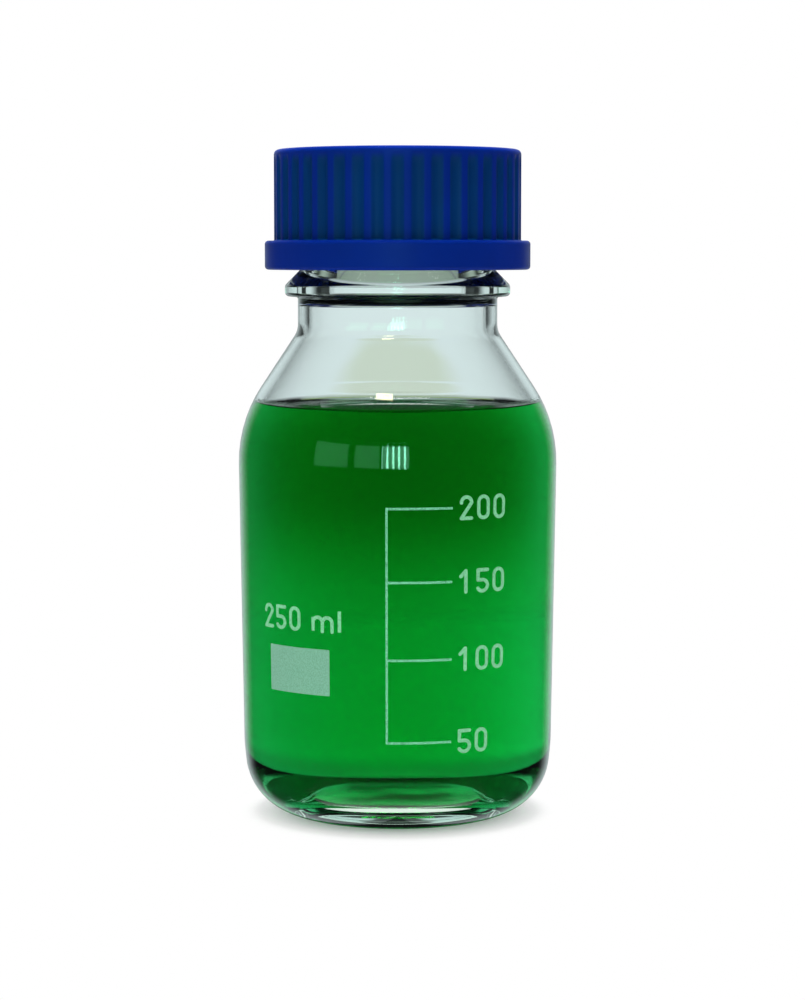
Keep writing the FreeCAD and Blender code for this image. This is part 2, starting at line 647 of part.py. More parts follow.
def make_numerals():
    """The volume beside each tick."""
    marks = {"50": "scale_low", "100": "scale_mid_low", "150": "scale_mid_high", "200": "scale_high"}
    angle = value("Places.numeral_angle")
    pieces = []
    for text, mark in marks.items():
        pieces += printed_line(text, value("Sizes." + mark), angle)
    return enamel_feature("graduation_numerals", pieces)


def make_capacity():
    """The nominal volume and its unit, printed above the marking panel."""
    pieces = printed_line("250 ml", value("Sizes.capacity_height"), value("Sizes.capacity_angle"))
    return enamel_feature("capacity_print", pieces)


def checked_shape(node):
    """The node's shape, once it is known to be whole."""
    shape = node.Shape
    if shape.isNull() or not shape.isValid() or not shape.Solids:
        raise RuntimeError(f"{node.Label} has no valid solid")
    return shape


def main():
    fill_sheet("Sizes", SIZES)
    fill_sheet("Places", PLACES)
    nodes = [
        make_bottle(), make_pouring_ring(), make_liquid(), make_cap(), make_liner(),
        make_scale(), make_panel(), make_numerals(), make_capacity(),
    ]
    doc.recompute()
    failed = [item.Label for item in doc.Objects if {"Invalid", "Error"} & set(item.State)]
    if failed:
        raise RuntimeError("failed objects: " + ", ".join(failed))
    shapes = {node.Label: checked_shape(node) for node in nodes}
    os.makedirs("parts", exist_ok=True)
    for label, shape in shapes.items():
        shape.exportStep(os.path.join("parts", label + ".step"))
        print(label, len(shape.Solids), "solids", round(shape.Volume, 2), "cubic millimetres")


main()
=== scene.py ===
# %% [markdown]
# A glass reagent bottle with a blue screw cap, filled to the shoulder with a green solution.
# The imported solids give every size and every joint. This lesson gives them their looks: clear glass,
# a coloured liquid, moulded plastic and fired enamel, in a small bright studio.
# Nearly every piece of a bottle is round, so most meshes here are one outline turned about the axis.

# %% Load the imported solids
import math

import bpy
import numpy as np
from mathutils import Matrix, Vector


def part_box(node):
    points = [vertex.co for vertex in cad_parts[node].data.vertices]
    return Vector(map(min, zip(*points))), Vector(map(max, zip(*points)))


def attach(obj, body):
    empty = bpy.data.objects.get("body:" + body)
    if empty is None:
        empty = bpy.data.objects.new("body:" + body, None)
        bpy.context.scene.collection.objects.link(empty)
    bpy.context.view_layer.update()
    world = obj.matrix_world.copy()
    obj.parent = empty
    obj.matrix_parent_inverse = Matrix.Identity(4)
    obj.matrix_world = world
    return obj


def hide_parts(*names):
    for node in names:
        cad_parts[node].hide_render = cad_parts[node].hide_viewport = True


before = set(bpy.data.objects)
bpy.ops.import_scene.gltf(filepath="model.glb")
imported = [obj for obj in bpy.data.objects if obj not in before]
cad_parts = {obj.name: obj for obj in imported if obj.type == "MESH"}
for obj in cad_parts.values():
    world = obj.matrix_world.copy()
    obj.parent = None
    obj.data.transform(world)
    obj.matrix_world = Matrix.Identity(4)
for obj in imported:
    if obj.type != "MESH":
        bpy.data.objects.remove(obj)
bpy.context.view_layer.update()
MM = 0.001
print("nodes:", sorted(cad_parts))

# %% [markdown]
# Heights that two pieces share are read from the solids, so that a piece made here sits exactly where
# its solid is. The remaining sizes of the outlines are written below, in millimetres, as on a drawing.

# %% Heights taken from the solids


def low_of(node):
    """Lowest height of a node, in millimetres."""
    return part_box(node)[0].z / MM


def high_of(node):
    """Highest height of a node, in millimetres."""
    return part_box(node)[1].z / MM


RIM = high_of("glass_bottle")
CONTACT = high_of("green_solution")
CAP_LOW, CAP_HIGH = low_of("screw_cap"), high_of("screw_cap")
LINER_LOW, LINER_HIGH = low_of("cap_liner"), high_of("cap_liner")
print(f"rim at {RIM:.1f} mm, solution up to {CONTACT:.1f} mm, cap from {CAP_LOW:.1f} to {CAP_HIGH:.1f} mm")

# %% [markdown]
# An outline is a short list of corners, each with the rounding that a mould or a flame gives it.
# Blender could round them with a Bevel modifier, but worked out one by one every arc is exact, which
# matters in glass: a lens shows each flat facet. Straight runs get a spare point close to both ends,
# so that smooth shading bends only in the arcs.

# %% Round the corners of an outline
ARC_STEP, LEAST_STEPS = 5.0, 4
RUN_STEP, LEAST_RUN, HOLD = 6.0, 0.9, 0.3
SHARP = 0


def arc_points(corner, back, ahead, half, radius, arc_step):
    """Points of the arc that rounds a corner, from the side it leaves to the side it joins."""
    middle = (back + ahead) / np.linalg.norm(back + ahead)
    centre = corner + middle * radius / math.sin(half)
    first = corner + back * radius / math.tan(half) - centre
    turn = (math.pi - 2 * half) * np.sign(back[1] * ahead[0] - back[0] * ahead[1])
    count = max(LEAST_STEPS, math.ceil(abs(math.degrees(turn)) / arc_step)) + 1
    steps = np.linspace(0, turn, count)[:, None]
    side = np.array([-first[1], first[0]])
    return centre + first * np.cos(steps) + side * np.sin(steps)


def rounded_outline(corners, arc_step=ARC_STEP, run_step=RUN_STEP):
    """Radii and heights along an outline with rounded corners.

    A rounding R replaces its corner by an arc that leaves one side and joins the next at R divided by
    the tangent of half the corner's angle. Arcs are cut every arc_step degrees and straight runs every
    run_step millimetres. The first and last corners lie on the axis and stay sharp.
    """
    corners = np.array(corners, float)
    sharp = corners[:, :2]
    rounding = corners[:, 2]
    sides = np.diff(sharp, axis=0)
    sides /= np.linalg.norm(sides, axis=1)[:, None]
    back = np.vstack([[0, 0], -sides])
    ahead = np.vstack([sides, [0, 0]])
    half = np.arccos(np.clip((back * ahead).sum(1), -1, 1)) / 2
    reach = np.where(rounding > 0, rounding / np.tan(half), 0)[:, None]
    leave, join = sharp + back * reach, sharp + ahead * reach
    pieces = []
    for number, radius in enumerate(rounding):
        if radius > 0:
            corner = sharp[number], back[number], ahead[number], half[number]
            pieces.append(arc_points(*corner, radius, arc_step))
        else:
            pieces.append(sharp[number][None])
        if number + 1 < len(rounding):
            run = leave[number + 1] - join[number]
            length = np.linalg.norm(run)
            if length > LEAST_RUN:
                inner = np.linspace(HOLD, length - HOLD, max(2, math.ceil(length / run_step)))
                pieces.append(join[number] + run * (inner / length)[:, None])
    outline = np.vstack(pieces)
    return outline[:, 0], outline[:, 1]


# %% [markdown]
# Turning the outline gives a grid of points: one row per outline point, one column per direction.
# A Screw or Spin modifier would do the same, but with the grid in numpy a thread or a row of flutes is
# just a number added to the radii. Where the outline starts or ends on the axis, the whole row is one
# point, the pole, so that no hole is left.

# %% Turn an outline into a closed mesh


def turned_points(radii, heights, columns):
    """Grid of directions, radii and heights: each outline point repeated in every direction."""
    angles = np.linspace(0, 2 * math.pi, columns, endpoint=False)
    return np.broadcast_arrays(angles[None, :], radii[:, None], heights[:, None])


def turned_mesh(name, angles, radii, heights, **marks):
    """Closed mesh from a grid that starts and ends on the axis.

    A grid point is (radius times cosine, radius times sine, height). Quads join neighbouring rows and
    columns, the last column joins the first, and the first and last rows shrink to one pole each.
    A mark gives each grid point one more number, which a material reads by the mark's name.
    """
    rings, columns = len(radii) - 2, radii.shape[1]
    points = np.stack([radii * np.cos(angles), radii * np.sin(angles), heights], axis=-1) * MM
    middle = points[1:-1].reshape(-1, 3)
    poles = np.array([[0, 0, heights[0, 0]], [0, 0, heights[-1, 0]]]) * MM
    here = np.arange(columns)
    after = (here + 1) % columns
    base = (np.arange(rings - 1) * columns)[:, None]
    quads = np.stack([base + here, base + after, base + columns + after, base + columns + here], axis=-1)
    first_pole, last_pole = len(middle), len(middle) + 1
    last_ring = (rings - 1) * columns
    fan_low = np.stack([np.full(columns, first_pole), after, here], axis=-1)
    fan_high = np.stack([last_ring + here, last_ring + after, np.full(columns, last_pole)], axis=-1)
    mesh = bpy.data.meshes.new(name)
    faces = quads.reshape(-1, 4).tolist() + fan_low.tolist() + fan_high.tolist()
    mesh.from_pydata(np.vstack([middle, poles]).tolist(), [], faces)
    mesh.shade_smooth()
    mesh.validate()
    for mark, share in marks.items():
        share = np.broadcast_to(share, radii.shape)
        share = np.concatenate([share[1:-1].ravel(), share[[0, -1], 0]])
        attribute = mesh.attributes.new(mark, "FLOAT", "POINT")
        attribute.data.foreach_set("value", share.astype(np.float32))
    return mesh


def place_piece(name, mesh, body, node, finish):
    """Show a mesh in place of its solid, on the body that the solid belongs to."""
    piece = bpy.data.objects.new(name, mesh)
    bpy.context.scene.collection.objects.link(piece)
    mesh.materials.append(finish)
    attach(piece, body)
    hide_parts(node)
    print(f"{name}: {len(mesh.polygons)} faces, {piece.dimensions.z / MM:.1f} mm tall")
    return piece


def smooth_step(value, low, high):
    """0 below low, 1 above high, and an even S-curve between them."""
    share = np.clip((value - low) / (high - low), 0, 1)
    return share * share * (3 - 2 * share)


# %% [markdown]
# A material is a graph of nodes, and shader sums are easier to read as Python. The small class below
# wraps a socket: each arithmetic operator adds one Math node, so 1 - mask works as it does on paper.
# Every other node comes from one method, which takes the node's type, its settings and its inputs.

# %% Write shader maths as Python


class Wire:
    """A socket that can be used in sums: each operator adds one Math node."""

    def __init__(self, finish, socket):
        self.finish = finish
        self.socket = socket

    def __add__(self, other):
        return self.finish.maths("ADD", self, other)

    def __radd__(self, other):
        return self.finish.maths("ADD", other, self)

    def __sub__(self, other):
        return self.finish.maths("SUBTRACT", self, other)

    def __rsub__(self, other):
        return self.finish.maths("SUBTRACT", other, self)

    def __mul__(self, other):
        return self.finish.maths("MULTIPLY", self, other)

    def __rmul__(self, other):
        return self.finish.maths("MULTIPLY", other, self)

    def __truediv__(self, other):
        return self.finish.maths("DIVIDE", self, other)

    def __rtruediv__(self, other):
        return self.finish.maths("DIVIDE", other, self)


MIX_FIRST, MIX_SECOND, MIX_RESULT = 6, 7, 2
DETAIL = 2.0


class Finish:
    """The node tree of a material or a world."""

    def __init__(self, owner):
        owner.use_nodes = True
        self.tree = owner.node_tree
        self.tree.nodes.clear()

    def node(self, kind, settings=None, inputs=None, output=0):
        """Add a node: settings first, then each input as a number, a colour or another Wire."""
        made = self.tree.nodes.new(kind)
        for key, value in (settings or {}).items():
            setattr(made, key, value)
        for key, value in (inputs or {}).items():
            if isinstance(value, Wire):
                self.tree.links.new(value.socket, made.inputs[key])
            else:
                made.inputs[key].default_value = value
        return Wire(self, made.outputs[output]) if len(made.outputs) else made

    def maths(self, operation, *values):
        """One Math node with its values in order."""
        return self.node("ShaderNodeMath", {"operation": operation}, dict(enumerate(values)))

    def blend(self, factor, first, second):
        """Mix two colours: the Mix node keeps its colour sockets after those for numbers and vectors."""
        inputs = {"Factor": factor, MIX_FIRST: first, MIX_SECOND: second}
        return self.node("ShaderNodeMix", {"data_type": "RGBA"}, inputs, output=MIX_RESULT)

    def scaled(self, colour, factor):
        """A colour made brighter or dimmer."""
        return self.node("ShaderNodeVectorMath", {"operation": "SCALE"}, {0: colour, "Scale": factor})

    def noise(self, scale, stretch=(1, 1, 1)):
        """Cloudy noise over the piece, from 0 to 1; scale is in lumps per metre."""
        place = self.node("ShaderNodeTexCoord", output="Object")
        place = self.node("ShaderNodeMapping", None, {"Vector": place, "Scale": stretch})
        return self.node("ShaderNodeTexNoise", None, {"Vector": place, "Scale": scale, "Detail": DETAIL})

    def span(self, value, low, high, to_low=0.0, to_high=1.0, curve="SMOOTHSTEP"):
        """Map a value from one range to another, held at both ends."""
        inputs = {"Value": value, "From Min": low, "From Max": high, "To Min": to_low, "To Max": to_high}
        return self.node("ShaderNodeMapRange", {"interpolation_type": curve}, inputs)

    def bump(self, height, strength, distance):
        """A normal roughened by a height map; distance is in metres."""
        inputs = {"Strength": strength, "Distance": distance, "Height": height}
        return self.node("ShaderNodeBump", None, inputs)

    def output(self, surface, volume=None):
        """Send a surface to the render and, for clear stuff, what fills it."""
        inputs = {"Surface": surface}
        if volume:
            inputs["Volume"] = volume
        self.node("ShaderNodeOutputMaterial", None, inputs)


def new_finish(name):
    """A material and the Finish that fills it."""
    material = bpy.data.materials.new(name)
    return material, Finish(material)


# %% [markdown]
# Borosilicate glass is clear, bends light by 1.47 and takes a little red away, which shows as a faint
# green where the light runs a long way inside it. Blown glass is never quite even, so a very weak, wide
# bump lets reflections waver, and wiped streaks dull them a little.

# %% Clear glass
AIR, WATER, BOROSILICATE = 1.0, 1.33, 1.47
GLASS_COLOUR, GLASS_DENSITY = (0.72, 0.93, 0.86, 1), 9.0
SWELLS, SWELL_STRETCH, SWELL_STRENGTH, SWELL_HEIGHT = 55.0, (1, 1, 0.5), 0.1, 0.0006
WIPES, WIPE_STRETCH, WIPE_RANGE, SMEAR = 140.0, (1, 1, 0.3), (0.55, 0.8), 0.012


def see_through(finish, bend, roughness=0.0, normal=None, colour=(1, 1, 1, 1)):
    """Clear stuff that bends light by the given ratio."""
    inputs = {"Base Color": colour, "Roughness": roughness, "IOR": bend, "Transmission Weight": 1.0}
    if normal:
        inputs["Normal"] = normal
    return finish.node("ShaderNodeBsdfPrincipled", None, inputs)


def clear_glass():
    """Glass with a faint tint inside; where the solution wets it, it bends light far less."""
    material, finish = new_finish("clear_glass")
    swell = finish.noise(SWELLS, SWELL_STRETCH)
    smear = finish.span(finish.noise(WIPES, WIPE_STRETCH), *WIPE_RANGE, 0.0, SMEAR)
    dry = see_through(finish, BOROSILICATE, smear, finish.bump(swell, SWELL_STRENGTH, SWELL_HEIGHT))
    wet = see_through(finish, BOROSILICATE / WATER)
    wetted = finish.node("ShaderNodeAttribute", {"attribute_name": "wetted"}, output="Fac")
    surface = finish.node("ShaderNodeMixShader", None, {0: wetted, 1: dry, 2: wet})
    tint = {"Color": GLASS_COLOUR, "Density": GLASS_DENSITY}
    finish.output(surface, finish.node("ShaderNodeVolumeAbsorption", None, tint))
    return material


GLASS = clear_glass()
print(f"{GLASS.name}: bends light by {BOROSILICATE}, or by {BOROSILICATE / WATER:.2f} where it is wet")

# %% [markdown]
# The glass is one closed wall: the outline climbs the outside from the middle of the push-up base to
# the rim, and comes down the inside to the floor. The screw thread is a ridge whose middle climbs one
# pitch in each turn, so its height above the root depends only on how far a point lies from that helix.

# %% The blown glass
GLASS_COLUMNS = 256
BODY_RADIUS = 35.0
HEEL_RADIUS, HEEL_HEIGHT, HEEL_ROUND = 33.9, 15.5, 30.0
FOOT_RADIUS, FOOT_ROUND = 32.3, 13.0
FOOT_INNER_RADIUS, FOOT_INNER_ROUND = 17.5, 2.0
PUSHUP_RADIUS, PUSHUP_HEIGHT, PUSHUP_ROUND = 14.0, 1.6, 3.0
SHOULDER_HEIGHT, SHOULDER_RISE, SHOULDER_ROUND = 86.2, 20.0, 30.0
NECK_RADIUS, NECK_LENGTH, NECK_ROUND = 21.8, 7.3, 5.0
NECK_LOW = SHOULDER_HEIGHT + SHOULDER_RISE
BEAD_RADIUS, BEAD_ROUND, BEAD_FOOT_ROUND = 24.6, 0.9, 0.4
BEAD_SLANT, BEAD_TALL, BEAD_RUN, LAND_TALL = 0.3, 2.3, 3.8, 4.0
BEAD_LOW = NECK_LOW + NECK_LENGTH
BEAD_EDGE_LOW = BEAD_LOW + BEAD_SLANT
BEAD_EDGE_HIGH = BEAD_EDGE_LOW + BEAD_TALL
ROOT_LOW, ROOT_ROUND = BEAD_EDGE_HIGH + BEAD_RUN, 1.0
ROOT_RADIUS, LIP_RADIUS, MOUTH_RADIUS = 20.9, 19.4, 15.0
LAND_LOW, LAND_ROUND = RIM - LAND_TALL, 0.3
RIM_OUTER_ROUND, RIM_INNER_ROUND = 0.6, 0.8
WALL, NECK_WALL = 2.4, 2.4
INNER_BODY_RADIUS, INNER_SHOULDER_ROUND = BODY_RADIUS - WALL, 26.5
INNER_FLOOR_RADIUS, FLOOR, INNER_HEEL_ROUND = 31.4, 6.0, 11.5
SHOULDER_SLOPE = (BODY_RADIUS - NECK_RADIUS) / SHOULDER_RISE
NECK_BORE, INNER_NECK_ROUND = NECK_RADIUS - NECK_WALL, 7.2
INNER_NECK_LOW = SHOULDER_HEIGHT + (INNER_BODY_RADIUS - NECK_BORE) / SHOULDER_SLOPE
STEP_DROP, STEP_RISE, STEP_ROUND = 1.2, 0.4, 1.2
STEP_LOW, STEP_HIGH = BEAD_LOW - STEP_DROP, BEAD_LOW + STEP_RISE
THREAD_PITCH, THREAD_DEPTH = 4.0, 1.4
THREAD_FOOT, THREAD_CREST = 1.1, 0.45
THREAD_RISE, THREAD_DROP = 2.1, 2.8
THREAD_LOW, THREAD_HIGH = ROOT_LOW + THREAD_RISE, LAND_LOW - THREAD_DROP
THREAD_ROWS, RUN_OUT_SHARE = 20, 12


def thread_ridge(angles, heights, low, high):
    """Share of the thread's depth at each point: 1 on the crest, 0 on the root.

    The ridge's middle lies at low plus one pitch per turn, as far up as high. The share falls from the
    crest's half height to the foot's half height, and runs out over a twelfth of a turn at both ends.
    """
    climb = heights - low - THREAD_PITCH * angles / (2 * math.pi)
    turn = np.round(climb / THREAD_PITCH)
    offset = np.abs(climb - turn * THREAD_PITCH)
    middle = turn * THREAD_PITCH + THREAD_PITCH * angles / (2 * math.pi)
    run_out = THREAD_PITCH / RUN_OUT_SHARE
    inside = smooth_step(middle, -run_out, 0) * (1 - smooth_step(middle, high - low, high - low + run_out))
    return (1 - smooth_step(offset, THREAD_CREST, THREAD_FOOT)) * inside


def glass_outline():
    """Corners of the glass: up the outside, over the rim and down the inside."""
    return rounded_outline([
        (0, PUSHUP_HEIGHT, SHARP),
        (PUSHUP_RADIUS, PUSHUP_HEIGHT, PUSHUP_ROUND),
        (FOOT_INNER_RADIUS, 0, FOOT_INNER_ROUND),
        (FOOT_RADIUS, 0, FOOT_ROUND),
        (HEEL_RADIUS, HEEL_HEIGHT, HEEL_ROUND),
        (BODY_RADIUS, SHOULDER_HEIGHT, SHOULDER_ROUND),
        (NECK_RADIUS, NECK_LOW, NECK_ROUND),
        (NECK_RADIUS, BEAD_LOW, BEAD_FOOT_ROUND),
        (BEAD_RADIUS, BEAD_EDGE_LOW, BEAD_ROUND),
        (BEAD_RADIUS, BEAD_EDGE_HIGH, BEAD_ROUND),
        (ROOT_RADIUS, ROOT_LOW, ROOT_ROUND),
        (ROOT_RADIUS, LAND_LOW, LAND_ROUND),
        (LIP_RADIUS, LAND_LOW, LAND_ROUND),
        (LIP_RADIUS, RIM, RIM_OUTER_ROUND),
        (MOUTH_RADIUS, RIM, RIM_INNER_ROUND),
        (MOUTH_RADIUS, STEP_HIGH, STEP_ROUND),
        (NECK_BORE, STEP_LOW, STEP_ROUND),
        (NECK_BORE, INNER_NECK_LOW, INNER_NECK_ROUND),
        (INNER_BODY_RADIUS, SHOULDER_HEIGHT, INNER_SHOULDER_ROUND),
        (INNER_FLOOR_RADIUS, FLOOR, INNER_HEEL_ROUND),
        (0, FLOOR, SHARP),
    ])


def add_rows(radii, heights, first, last, new_heights):
    """Put rows at the given heights on the run between two outline points, in place of its own rows."""
    run = slice(first, last + 1)
    order = np.argsort(heights[run])
    new_radii = np.interp(new_heights, heights[run][order], radii[run][order])
    radii = np.concatenate([radii[:first + 1], new_radii, radii[last:]])
    return radii, np.concatenate([heights[:first + 1], new_heights, heights[last:]])


def glass_mesh():
    """The turned outline with two runs of extra rows: one for the thread and one where the liquid ends."""
    radii, heights = glass_outline()
    top = int(np.argmax(heights))
    # Past the rim the outline comes down the inside: one row goes exactly at the edge of the liquid.
    last = top + int(np.flatnonzero(heights[top:] < CONTACT)[0])
    radii, heights = add_rows(radii, heights, last - 1, last, np.array([CONTACT]))
    # Before the rim it climbs the outside: even rows between bead and land carry the thread.
    first, last = np.flatnonzero((heights[:top] > ROOT_LOW) & (heights[:top] < LAND_LOW))[[0, -1]]
    steps = np.arange(heights[first], heights[last], THREAD_PITCH / THREAD_ROWS)[1:]
    radii, heights = add_rows(radii, heights, first, last, steps)
    outside = (np.arange(len(radii)) < int(np.argmax(heights)))[:, None]
    angles, radii, heights = turned_points(radii, heights, GLASS_COLUMNS)
    on_neck = outside & (heights > ROOT_LOW) & (heights < LAND_LOW - LAND_ROUND)
    ridge = thread_ridge(angles, heights, THREAD_LOW, THREAD_HIGH)
    radii = radii + np.where(on_neck, ridge * THREAD_DEPTH, 0)
    wetted = ~outside & (heights <= CONTACT)
    return turned_mesh("blown_glass", angles, radii, heights, wetted=wetted)


place_piece("blown_glass", glass_mesh(), "bottle", "glass_bottle", GLASS)

# %% [markdown]
# The solution wets the wall. If its mesh stopped short of the glass, a film of air would lie between
# them and mirror everything, so it reaches a tenth of a millimetre into the wall. Its colour is not
# painted on: light loses red and blue on its way through, more on a longer way, as in real dye.

# %% Green solution
DYE_COLOUR, DYE_DENSITY = (0.0, 0.78, 0.43, 1), 124.0
DYE_CLOUDS, CLOUD_STRETCH = 30.0, (1, 1, 0.4)
CLOUD_COLOUR, CLEAR_COLOUR = (0.96, 1, 0.97, 1), (1, 1, 1, 1)
WETTING, FILL, MENISCUS_REACH = 0.1, 3.0, 1.0
LEVEL = SHOULDER_HEIGHT + FILL
CURVED, CURVED_ROWS, FLAT_ROWS = 8.0, 40, 8


def green_solution():
    """Water with dye: it bends light at its open surface, and not again where it meets the glass."""
    material, finish = new_finish("green_solution")
    dye_cloud = finish.blend(finish.noise(DYE_CLOUDS, CLOUD_STRETCH), CLOUD_COLOUR, CLEAR_COLOUR)
    open_surface = see_through(finish, WATER)
    at_the_glass = see_through(finish, AIR, colour=dye_cloud)
    wetted = finish.node("ShaderNodeAttribute", {"attribute_name": "wetted"}, output="Fac")
    surface = finish.node("ShaderNodeMixShader", None, {0: wetted, 1: open_surface, 2: at_the_glass})
    dye = finish.node("ShaderNodeVolumeAbsorption", None, {"Color": DYE_COLOUR, "Density": DYE_DENSITY})
    finish.output(surface, dye)
    return material


def solution_mesh():
    """Floor, heel, wall and shoulder as the inside of the glass, then the surface.

    The surface is level in the middle and climbs the wall: its height above the level falls off by a
    fixed share for each step away from the glass.
    """
    wall = INNER_BODY_RADIUS + WETTING
    radii, heights = rounded_outline([
        (0, FLOOR - WETTING, SHARP),
        (INNER_FLOOR_RADIUS + WETTING, FLOOR - WETTING, INNER_HEEL_ROUND),
        (wall, SHOULDER_HEIGHT, INNER_SHOULDER_ROUND),
        (wall - SHOULDER_SLOPE * SHOULDER_RISE, SHOULDER_HEIGHT + SHOULDER_RISE, SHARP),
    ])
    contact_radius = np.interp(CONTACT, heights, radii)
    below = heights < CONTACT
    near = np.linspace(0, CURVED, CURVED_ROWS)
    away = np.concatenate([near, np.linspace(CURVED, contact_radius, FLAT_ROWS)[1:]])
    surface = LEVEL + (CONTACT - LEVEL) * np.exp(-away / MENISCUS_REACH)
    wall_rows = np.count_nonzero(below) + 1
    radii = np.concatenate([radii[below], contact_radius - away])
    heights = np.concatenate([heights[below], surface])
    wetted = (np.arange(len(radii)) < wall_rows)[:, None]
    return turned_mesh("green_solution_body", *turned_points(radii, heights, GLASS_COLUMNS), wetted=wetted)


SOLUTION = green_solution()
place_piece("green_solution_body", solution_mesh(), "bottle", "green_solution", SOLUTION)

# %% [markdown]
# The cap is moulded polypropylene: a dense blue with a soft gloss. The mould leaves a fine grain, use
# wears it in soft patches, and the hollows of the grip get a painted shade, a darker and greener blue
# than the ridges between them.

# %% Moulded blue plastic
# The hollow colour is painted shade: the flutes of the cap get a darker, greener blue than the ridges.
RIDGE_COLOUR, HOLLOW_SHADE_COLOUR = (0.001, 0.015, 0.20, 1), (0.0004, 0.026, 0.13, 1)
RING_COLOUR = (0.001, 0.02, 0.24, 1)
POLYPROPYLENE, FAINT_SHINE = 1.49, 0.05
WEAR_LUMPS, WEAR_RANGE, WEAR_DIMS, WEAR_GLOSS = 70.0, (0.3, 0.7), (1.0, 0.88), (0.36, 0.44)
GRAIN_LUMPS, GRAIN_STRENGTH, GRAIN_HEIGHT = 2600.0, 0.12, 0.00008


def blue_plastic(name, ridge_colour, hollow_shade_colour):
    """Plastic with one colour on its ridges and a painted shade in its hollows, worn in soft patches."""
    material, finish = new_finish(name)
    hollow = finish.node("ShaderNodeAttribute", {"attribute_name": "hollow"}, output="Fac")
    wear = finish.noise(WEAR_LUMPS)
    # Painted shade: where the flutes are deep, the colour turns to the darker hollow blue.
    colour = finish.blend(hollow, ridge_colour, hollow_shade_colour)
    surface = finish.node("ShaderNodeBsdfPrincipled", None, {
        "Base Color": finish.scaled(colour, finish.span(wear, *WEAR_RANGE, *WEAR_DIMS)),
        "Roughness": finish.span(wear, *WEAR_RANGE, *WEAR_GLOSS),
        "IOR": POLYPROPYLENE,
        "Specular IOR Level": FAINT_SHINE,
        "Normal": finish.bump(finish.noise(GRAIN_LUMPS), GRAIN_STRENGTH, GRAIN_HEIGHT),
    })
    finish.output(surface)
    return material


CAP_BLUE = blue_plastic("cap_blue", RIDGE_COLOUR, HOLLOW_SHADE_COLOUR)
RING_BLUE = blue_plastic("ring_blue", RING_COLOUR, RING_COLOUR)
print("plastics:", CAP_BLUE.name, "and", RING_BLUE.name)

# %% [markdown]
# Turned like the glass, the cap gets its grip from flutes: round hollows, evenly spaced, that run from
# the flange up to a round end below the top edge. Inside, its own thread climbs half a pitch above the
# thread of the glass.

# %% The screw cap
FLUTES, FLUTE_COLUMNS = 40, 14
FLUTE_RADIUS, FLUTE_DEPTH, FLUTE_END, FLUTE_FOOT = 1.8, 0.6, 1.8, 0.25
HOLLOW_EDGE = 0.3
CAP_BORE, GRIP_RADIUS, FLANGE_RADIUS = 22.9, 26.95, 29.0
FLANGE_TALL, FLANGE_ROUND, GRIP_ROUND, TOP_ROUND, BORE_ROUND = 6.3, 0.8, 0.25, 1.1, 0.4
FLANGE_HIGH = CAP_LOW + FLANGE_TALL
ROOF_GAP, THREAD_GAP = 0.05, 0.35
CAP_ROOF = LINER_HIGH + ROOF_GAP
CAP_THREAD_LOW = THREAD_LOW + THREAD_PITCH / 2 + THREAD_GAP
CAP_ARC_STEP, CAP_RUN_STEP, CAP_THREAD_ROWS = 12.0, 1.2, 8


def flute_hollow(angles, heights):
    """Depth of the flutes: a circle's arc across each one, fading out over its round upper end."""
    spacing = 2 * math.pi / FLUTES
    across = (np.mod(angles + spacing / 2, spacing) - spacing / 2) * GRIP_RADIUS
    bottom = FLUTE_RADIUS - FLUTE_DEPTH
    arc = np.sqrt(np.maximum(FLUTE_RADIUS ** 2 - across ** 2, 0)) - bottom
    end = CAP_HIGH - FLUTE_END
    rise = np.clip((heights - end + FLUTE_RADIUS) / FLUTE_RADIUS, 0, 1)
    fade = np.sqrt(1 - rise ** 2) * smooth_step(heights, FLANGE_HIGH, FLANGE_HIGH + FLUTE_FOOT)
    return np.maximum(arc, 0) * fade


def cap_mesh():
    """Down the bore from the roof and up the outside to the top.

    Thread: the bore's radius less the depth of the ridge there. Grip: the outer radius less the
    depth of the flute there.
    """
    radii, heights = rounded_outline([
        (0, CAP_ROOF, SHARP),
        (CAP_BORE, CAP_ROOF, BORE_ROUND),
        (CAP_BORE, CAP_LOW, BORE_ROUND),
        (FLANGE_RADIUS, CAP_LOW, FLANGE_ROUND),
        (FLANGE_RADIUS, FLANGE_HIGH, FLANGE_ROUND),
        (GRIP_RADIUS, FLANGE_HIGH, GRIP_ROUND),
        (GRIP_RADIUS, CAP_HIGH, TOP_ROUND),
        (0, CAP_HIGH, SHARP),
    ], CAP_ARC_STEP, CAP_RUN_STEP)
    # The outline starts down the bore: even rows there carry the thread.
    in_bore = (heights < CAP_ROOF - BORE_ROUND) & (heights > CAP_LOW + BORE_ROUND)
    first, last = np.flatnonzero(in_bore[:int(np.argmin(heights))])[[0, -1]]
    steps = np.arange(heights[first], heights[last], -THREAD_PITCH / CAP_THREAD_ROWS)[1:]
    radii, heights = add_rows(radii, heights, first, last, steps)
    row = np.arange(len(radii))[:, None]
    lowest = int(np.argmin(heights))
    angles, radii, heights = turned_points(radii, heights, FLUTES * FLUTE_COLUMNS)
    inside = (row < lowest) & (radii > CAP_BORE - BORE_ROUND) & (heights < CAP_ROOF - BORE_ROUND)
    outside = (row > lowest) & (heights > FLANGE_HIGH) & (radii > GRIP_RADIUS - FLUTE_DEPTH)
    ridge = thread_ridge(angles, heights, CAP_THREAD_LOW, THREAD_HIGH)
    radii = radii - np.where(inside, ridge * THREAD_DEPTH, 0)
    hollow = np.where(outside, flute_hollow(angles, heights), 0)
    # This share is the mask of the painted shade in the flutes.
    share = smooth_step(hollow / FLUTE_DEPTH, 0, HOLLOW_EDGE)
    return turned_mesh("fluted_cap", angles, radii - hollow, heights, hollow=share)


place_piece("fluted_cap", cap_mesh(), "cap", "screw_cap", CAP_BLUE)

# %% [markdown]
# A soft white disc lies in the roof of the cap and seals the rim; it shows only when the cap is off.
# It is cut from pressed sheet, so its noise is squeezed into flat flakes that lie along the sheet.

